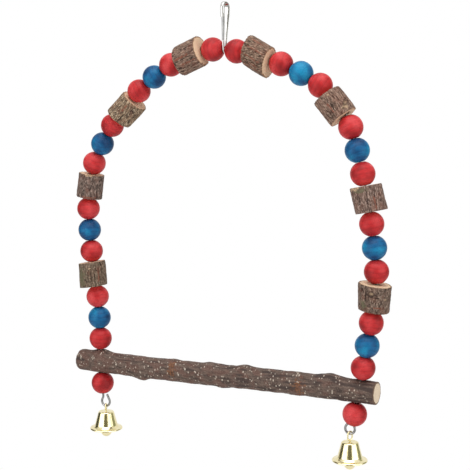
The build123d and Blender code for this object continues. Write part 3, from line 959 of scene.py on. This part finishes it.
# The first finish for the bark and the left end, and the second for the sawn end
finishes = [np.zeros(len(faces[0])), np.zeros(PERCH_COLUMNS), np.ones(PERCH_COLUMNS)]
finishes[0][(len(left_cap) + len(rows) - 2) * PERCH_COLUMNS :] = 1
attributes = {
    "lenticel": with_caps(lenticel), "scar": with_caps(scar), "shade": with_caps(shade, LEFT_SHADE),
    "rust": with_caps(rust), "inset": from_bark, "grain": shape,
}
add_piece(
    "perch", shape, faces, "arch", [perch_bark, perch_end],
    attributes, np.concatenate(finishes), sharp=55,
)
print("perch:", len(shape), "points")

# %% [markdown]
# ## Metals
#
# Four metals meet here. The clip's hook is steel strip with bright nickel plate and its gate is
# bare spring steel. The arch is plain drawn wire, and the bells are pale brass plate, polished
# almost to a mirror. A metal's colour is the colour of its reflections, so roughness matters more
# than colour: a faint noise keeps each one from looking like glass.

# %% Finishes of the metals

# Size of the fine scratches as a share of the clouds' size
SCRATCH_SHARE = 0.25
# How far the clouds change the roughness, as shares of it
DULLING = (0.7, 1.3)


def plated_metal(name, bright, dull, roughness, cloud_size, scratch):
    """Metal with soft clouds in its tint and roughness, and a faint bump of scratch millimetres."""
    material, add = new_finish(name)
    coords = add("TexCoord", output="Object")
    fine_size = SCRATCH_SHARE * cloud_size
    clouds = add("TexNoise", {"Vector": coords, "Scale": 1 / (cloud_size * MM), "Detail": 3.0})
    fine = add("TexNoise", {"Vector": coords, "Scale": 1 / (fine_size * MM), "Detail": 2.0})
    tint = lay_tints(add, colour(bright), [(clouds, dull, 0.4, 0.7, 1.0)])
    least, most = (share * roughness for share in DULLING)
    rough = add("MapRange", {"Value": clouds, "To Min": least, "To Max": most})
    end_finish(add, tint, rough, fine, strength=0.2, depth=scratch)
    return material


# Nickel mirrors the white tent, so only its edges and turns look grey
nickel = plated_metal("bright_nickel_plate_on_steel", "#C2C1BE", "#A9A8A5", 0.14, 4.0, 0.02)
# Tempered steel is greyer than nickel, so the gate stands out from the hook
spring_steel = plated_metal("tempered_spring_steel_strip", "#9C9C9B", "#838382", 0.18, 4.0, 0.02)
# Drawn wire is dull grey, with a soft light line along it
drawn_wire = plated_metal("drawn_steel_wire", "#969594", "#7C7B7A", 0.2, 2.0, 0.02)
# Polished brass plate shows the tent as cream bands between olive ones
brass = plated_metal("pale_brass_plate_polished", "#EDE2B8", "#E2D5A2", 0.2, 3.0, 0.015)
print("metals:", ", ".join(metal.name for metal in (nickel, spring_steel, drawn_wire, brass)))

# %% [markdown]
# The wire arch, the bells' hangers and the clappers are right as they come from the frame, so
# they keep their shapes and only change their finish.

# %% Finishes of the carried pieces

CARRIED = {"arch_wire": drawn_wire}
for leg in ("left", "right"):
    CARRIED.update({f"{leg}_bell_hanger": brass, f"{leg}_clapper": brass})
for node, metal in CARRIED.items():
    carried = frame["nodes"][node].data.materials
    carried.clear()
    carried.append(metal)
print("carried pieces:", ", ".join(CARRIED))

# %% [markdown]
# ## The bells
#
# A bell is pressed from sheet, so its wall has one thickness, its shoulder and waist are round,
# and its brim ends in a rounded lip. Its outline runs from the hole in the crown down the
# outside, round the lip and up the inside, as one closed loop that is carried round the axis.
# The crown and the waist are given as shares of the brim and the height, which are measured on
# the CAD bell.

# %% Bells

# Diameters of crown and waist over the brim's, and the waist's level over the height
CROWN_SHARE = 10.8 / 23.2
WAIST_SHARE = 16.2 / 23.2
WAIST_LEVEL = 2.8 / 12.8
BELL_COLUMNS = 144
CORNER_STEPS = 9
STEM_HOLE = 0.6
BELL_WALL = 0.8
LIP_ROLL = 0.4
BRIM_SHELF = 2.1
BRIM_FALL = 0.2
WAIST_THINNING = 0.2


def round_corners(corners):
    """A closed outline of (point, radius) with each corner replaced by an arc of its radius.

    The arc's centre lies radius / sin(half the corner's angle) away, midway between the sides, and
    its ends lie radius / tan(half the angle) along them. Its points sweep evenly between the ends,
    seen from the centre, by half a turn less the corner's angle.
    """
    points = np.array([point for point, _ in corners])
    radius = np.array([radius for _, radius in corners])[:, None]
    before, after = (unit(np.roll(points, shift, 0) - points) for shift in (1, -1))
    half = 0.5 * np.arccos((before * after).sum(1, keepdims=True))
    to_centre = unit(before + after) * radius / np.sin(half)
    start, end = (side * radius / np.tan(half) - to_centre for side in (before, after))
    sweep = (np.pi - 2 * half)[:, None]
    t = np.linspace(0, 1, CORNER_STEPS)[:, None]
    arcs = np.sin((1 - t) * sweep) * start[:, None] + np.sin(t * sweep) * end[:, None]
    return ((points + to_centre)[:, None] + arcs / np.sin(sweep)).reshape(-1, 2)


for leg in ("left", "right"):
    node = f"{leg}_bell_shell"
    low, high = node_box(node)
    brim, tall = (high[0] - low[0]) / 2, high[2] - low[2]
    crown, waist, level = CROWN_SHARE * brim, WAIST_SHARE * brim, WAIST_LEVEL * tall
    lip = BELL_WALL + LIP_ROLL
    # Each corner of the sheet, and the radius that rounds it
    outline = round_corners([
        ((STEM_HOLE, tall), 0.15),
        ((crown, tall), 1.3),
        ((waist, level), 1.2),
        ((brim - BRIM_SHELF, lip + BRIM_FALL), 1.3),
        ((brim, lip), 0.95),
        ((brim, 0.0), 0.24),
        ((brim - BELL_WALL, 0.0), 0.3),
        ((waist - WAIST_THINNING, level - BELL_WALL), 1.8),
        ((crown - BELL_WALL, tall - BELL_WALL), 0.5),
        ((STEM_HOLE, tall - BELL_WALL), 0.15),
    ])
    foot = np.array((*(low + high)[:2] / 2, low[2]))
    faces = [grid_faces(len(outline), BELL_COLUMNS, loop=True)]
    shape = foot + carry_round(outline, BELL_COLUMNS)
    add_piece(node, shape, faces, f"{leg}_bell", [brass], sharp=60)
    print(node, "of", len(outline), "by", BELL_COLUMNS, "points")

# %% [markdown]
# ## The clip
#
# The clip is made of two steel strips: a hook, bent round the wire at its foot and over the cage
# bar at its top, and a straight gate. A strip could be a bent box, but its edges are rounded by
# rolling and plating, so it is a flattened round carried along a line across the perch.

# %% Strips

SECTION_POINTS = 32


def run(start, end, steps):
    """Points in even steps along a straight line, with both its ends."""
    return start + (end - start) * np.linspace(0, 1, steps)[:, None]


def carry_strip(line, half_width, half_thick, fullness):
    """Points of a flattened round, X wide, carried along a line in the plane across the perch.

    Its section is |x / half width|^n + |t / half thickness|^n = 1, with n the fullness. line holds
    Y and Z of the middle. The thickness lies across the line's direction, so each point is
    middle + x * X + t * (direction turned by 90 degrees).
    """
    way = unit(np.gradient(line, axis=0))
    normal = np.stack((-way[:, 1], way[:, 0]), -1)
    ring = unit_ring(SECTION_POINTS)[1]
    x, t = (np.sign(ring) * np.abs(ring) ** (2 / fullness)).T
    across = line[:, None, :] + half_thick * t[:, None] * normal[:, None, :]
    return np.dstack((half_width[:, None] * x, across))


# %% [markdown]
# The hook's line is made of straight limbs that touch two circles, one round the wire and one
# round the bar, so everything follows from the two radii and the distance between them. The strip
# is narrow at the wire and wide at the bar, and tapers again to its tip.

# %% Clip hook

HOOK_FULLNESS = 2.4
# Half widths at the wire and at the tip
EYE_HALF = 0.7
TIP_HALF = 1.0
# Height above the wire up to which the strip stays narrow
NARROW_TO = 5.8
TIP_LENGTH = 5.5
ARC_STEPS = 40
LEG_STEPS = 8
TIP_STEPS = 10
# The leg ends this far below the gate's root
GATE_GAP = 0.15

low, high = node_box("clip_hook")
gate_low, gate_high = node_box("clip_gate")
drop = -joints["arch_swing"]["pos_m"][2] / MM
saddle = frame["record"]["mounts"][0]["dims"]["r_mm"]
thick = high[2] - saddle
hook_bend, eye_bend = saddle + thick / 2, -drop - low[2] - thick / 2
splay = math.asin((hook_bend - eye_bend) / drop)
over = np.linspace(-splay, math.pi + splay, ARC_STEPS)
under = np.linspace(math.pi + splay, 2 * math.pi - splay, ARC_STEPS)
hook_arc = hook_bend * np.stack((np.cos(over), np.sin(over)), -1)
eye_arc = eye_bend * np.stack((np.cos(under), np.sin(under)), -1) - (0, drop)
limb = unit(hook_arc[-1] - eye_arc[0])
leg_top = eye_arc[0] + limb * (gate_low[2] - eye_arc[0][1] - GATE_GAP) / limb[1]
tip = hook_arc[-1] - limb * TIP_LENGTH
line = np.concatenate((
    run(leg_top, eye_arc[0], LEG_STEPS)[:-1],
    eye_arc,
    run(eye_arc[-1], hook_arc[0], ARC_STEPS)[1:-1],
    hook_arc,
    run(hook_arc[-1], tip, TIP_STEPS)[1:],
))
wide = (high[0] - low[0]) / 2
taper = np.interp(line[:, 1], (NARROW_TO - drop, -saddle), (EYE_HALF, wide))
tip_taper = np.interp(line[:, 0], (-hook_bend, hook_bend), (TIP_HALF, wide))
rings = carry_strip(line, np.minimum(taper, tip_taper), thick / 2, HOOK_FULLNESS)
points, faces = capped(rings)
add_piece("clip_hook", points, faces, "clip", [nickel])
print("clip hook:", len(points), "points, splay", round(math.degrees(splay), 2), "degrees")

# %% [markdown]
# The gate is the springy front limb. It is straight, so its line has only two ends, and rings at
# even steps carry its slow taper.

# %% Clip gate

GATE_FULLNESS = 1.8
GATE_THICK = 0.8
GATE_STEPS = 30
# Height of the slice at the top that gives the gate's upper end
TOP_SLICE = 0.5

root = np.array(joints["gate_press"]["pos_m"][1:]) / MM
gate_points = node_points("clip_gate")
top_points = gate_points[gate_points[:, 2] > gate_high[2] - TOP_SLICE]
top = np.array((top_points[:, 1].mean(), gate_high[2] - GATE_THICK / 2))
overlap = unit(top - root) * GATE_THICK / 2
half_width = np.linspace(EYE_HALF, (gate_high[0] - gate_low[0]) / 2, GATE_STEPS)
line = run(root - overlap, top + overlap, GATE_STEPS)
points, faces = capped(carry_strip(line, half_width, GATE_THICK / 2, GATE_FULLNESS))
add_piece("clip_gate", points, faces, "gate", [spring_steel])
print("clip gate:", len(points), "points")

# %% [markdown]
# ## Floor
#
# The swing hangs in front of plain white, with a pale floor well below it. Near the swing the
# floor is partly a real matt surface, which keeps a soft shadow. Further away it fades to pure
# white for the camera and for reflections, so no edge shows where the floor ends. From here on
# everything is in metres.

# %% Floor

FLOOR_DROP = 0.25
FLOOR_SIZE = 14.0
SHADOW_SHARE = 0.2
# Distances from the middle between which the shadow fades out
SHADOW_FROM, SHADOW_TO = 0.35, 0.75


def seen_share(add):
    """1 for what the camera, a mirror or glass sees, and 0 for the light that falls on things."""
    seen = 0.0
    for ray in ("Is Camera Ray", "Is Glossy Ray", "Is Transmission Ray"):
        seen = add("Math", {0: seen, 1: add("LightPath", output=ray)}, operation="MAXIMUM")
    return seen


def add_stage(name, points, faces, material):
    """A stage object, which lights or backs the swing and is no part of it."""
    mesh = bpy.data.meshes.new(name)
    mesh.from_pydata(points, [], faces)
    mesh.materials.append(material)
    holder = bpy.data.objects.new(name, mesh)
    bpy.context.scene.collection.objects.link(holder)
    return holder


# Matt and nearly white, so only the soft shadow below the swing shows
material, add = new_finish("pale_matt_floor")
place = add("TexCoord", output="Object")
flat = add("VectorMath", {0: place, 1: (1.0, 1.0, 0.0)}, operation="MULTIPLY")
away = add("VectorMath", {0: flat}, "Value", operation="LENGTH")
reach = {"From Min": SHADOW_FROM, "From Max": SHADOW_TO}
fade = add("MapRange", {"Value": away, **reach, "To Min": 1 - SHADOW_SHARE, "To Max": 1.0})
share = add("Math", {0: seen_share(add), 1: fade}, operation="MULTIPLY")
plain = add("BsdfDiffuse", {"Color": colour("#F6F5F3")})
white = add("Emission", {"Color": colour("#FFFFFF"), "Strength": 1.0})
add("OutputMaterial", {"Surface": add("MixShader", {0: share, 1: plain, 2: white})})
level, far = cad_box[0][2] - FLOOR_DROP, FLOOR_SIZE / 2
corners = [(x * far, y * far, level) for x, y in ((-1, -1), (1, -1), (1, 1), (-1, 1))]
add_stage("floor", corners, [(0, 1, 2, 3)], material)
print("floor at", round(level, 3), "m")

# %% [markdown]
# ## Dark cards
#
# Polished metal has no look of its own: it shows what stands round it. In an all-white tent a
# bell would almost vanish, so a photographer puts up narrow dark cards, and their reflections
# draw the dark bands that show how the bell is curved. A point of the bell that faces an angle
# away from the camera mirrors twice that angle, which tells where each card has to stand. The
# cards bend round the swing, are seen by reflections only and throw no shadow.

# %% Cards

CAMERA_AZIMUTH = 26.39
AIM = np.array((0.0, 0.0, -0.15))
CARD_DISTANCE = 1.15
CARD_HEIGHT = 1.5
CARD_POINTS = 9
# First and last azimuth from the camera's, in degrees, and the grey that a reflection shows
CARDS = {
    "card_behind_camera": (-27, 22, "#6E6C52"),
    "card_left": (-130, -84, "#4F5042"),
    "card_right": (82, 122, "#979A7C"),
}

for name, (start, end, grey) in CARDS.items():
    # One even grey, so that its reflection is a plain band
    material, add = new_finish(f"dull_{name}")
    dull = add("Emission", {"Color": colour(grey), "Strength": 1.0})
    add("OutputMaterial", {"Surface": dull})
    around = np.radians(CAMERA_AZIMUTH + np.linspace(start, end, CARD_POINTS))
    way = np.stack((np.sin(around), -np.cos(around), np.zeros(CARD_POINTS)), -1)
    lower = AIM + CARD_DISTANCE * way - (0, 0, CARD_HEIGHT / 2)
    points = np.concatenate((lower, lower + (0, 0, CARD_HEIGHT)))
    strips = np.arange(CARD_POINTS - 1)[:, None] + (0, 1, CARD_POINTS + 1, CARD_POINTS)
    card = add_stage(name, points, strips.tolist(), material)
    card.visible_camera = card.visible_diffuse = card.visible_shadow = False
    card.visible_transmission = card.visible_volume_scatter = False
print("cards:", ", ".join(CARDS))

# %% [markdown]
# ## Light
#
# Large soft lamps light the swing as in a light tent: one above, which gives the beads a brighter
# top, one on each side of the camera, and a fill behind that metal doesn't mirror. A lamp's size
# decides how soft its shadow is, and its watts spread over its area decide how bright its mirror
# image is, so big lamps keep the bells from glaring. The world is white to the camera and to
# reflections, and gives a gentler light to everything else.

# %% World and lamps

WORLD_LEVEL = 0.18
# Azimuth from the camera's and elevation in degrees, distance, width and height in metres, watts
LAMPS = {
    "top_softbox": (0, 72, 1.1, 1.1, 1.1, 13.0),
    "left_softbox": (-51, 6, 1.4, 1.55, 1.5, 11.6),
    "right_softbox": (47, 6, 1.4, 1.6, 1.5, 10.0),
    "back_fill": (180, 20, 1.4, 1.5, 1.5, 12.0),
}


def stand(name, data, azimuth, elevation, distance, target, roll=0.0):
    """Put a lamp or camera at a distance from its target, looking at it, and give its object.

    The way from the target is (sin a cos e, -cos a cos e, sin e), with a the azimuth and e the
    elevation, and the level way to the right is (cos a, sin a, 0). Roll turns the right upwards.
    All angles are in degrees.
    """
    a, e, r = np.radians((azimuth, elevation, roll))
    back = np.array((np.sin(a) * np.cos(e), -np.cos(a) * np.cos(e), np.sin(e)))
    level = np.array((np.cos(a), np.sin(a), 0.0))
    right = np.cos(r) * level + np.sin(r) * np.cross(back, level)
    matrix = np.eye(4)
    matrix[:3] = np.stack((right, np.cross(back, right), back, target + distance * back), -1)
    holder = bpy.data.objects.new(name, data)
    holder.matrix_world = Matrix(matrix.tolist())
    bpy.context.scene.collection.objects.link(holder)
    return holder


world = bpy.data.worlds.new("light_tent")
add = start_nodes(world)
shares = {"To Min": WORLD_LEVEL, "To Max": 1.0}
strength = add("MapRange", {"Value": seen_share(add), **shares})
shine = add("Background", {"Color": colour("#FFFFFF"), "Strength": strength})
add("OutputWorld", {"Surface": shine})
bpy.context.scene.world = world

for name, (azimuth, elevation, distance, width, height, power) in LAMPS.items():
    lamp = bpy.data.lights.new(name, "AREA")
    lamp.shape, lamp.size, lamp.size_y, lamp.energy = "RECTANGLE", width, height, power
    holder = stand(name, lamp, CAMERA_AZIMUTH + azimuth, elevation, distance, AIM)
    holder.visible_glossy = name != "back_fill"
print("lamps:", ", ".join(LAMPS))

# %% [markdown]
# ## Camera
#
# The camera stands a little to the right and a little above the middle of the swing, with a long
# lens, which keeps the near leg only slightly larger than the far one. Its place is an azimuth,
# an elevation and a distance from a target in the middle of the swing.

# %% Camera

CAMERA_ELEVATION, CAMERA_ROLL = 6.774, -0.119
CAMERA_DISTANCE = 0.77624
TARGET = np.array((0.00742, 0.0, -0.1492))
LENS, SENSOR_WIDTH = 89.2, 36.0
FAR_CLIP = 50.0

lens = bpy.data.cameras.new("portrait_camera")
lens.lens, lens.sensor_width, lens.clip_end = LENS, SENSOR_WIDTH, FAR_CLIP
camera = stand(
    "portrait_camera", lens, CAMERA_AZIMUTH, CAMERA_ELEVATION, CAMERA_DISTANCE, TARGET, CAMERA_ROLL
)
bpy.context.scene.camera = camera
bpy.context.scene.view_settings.view_transform = "Standard"
print("camera at", [round(value, 3) for value in camera.location])
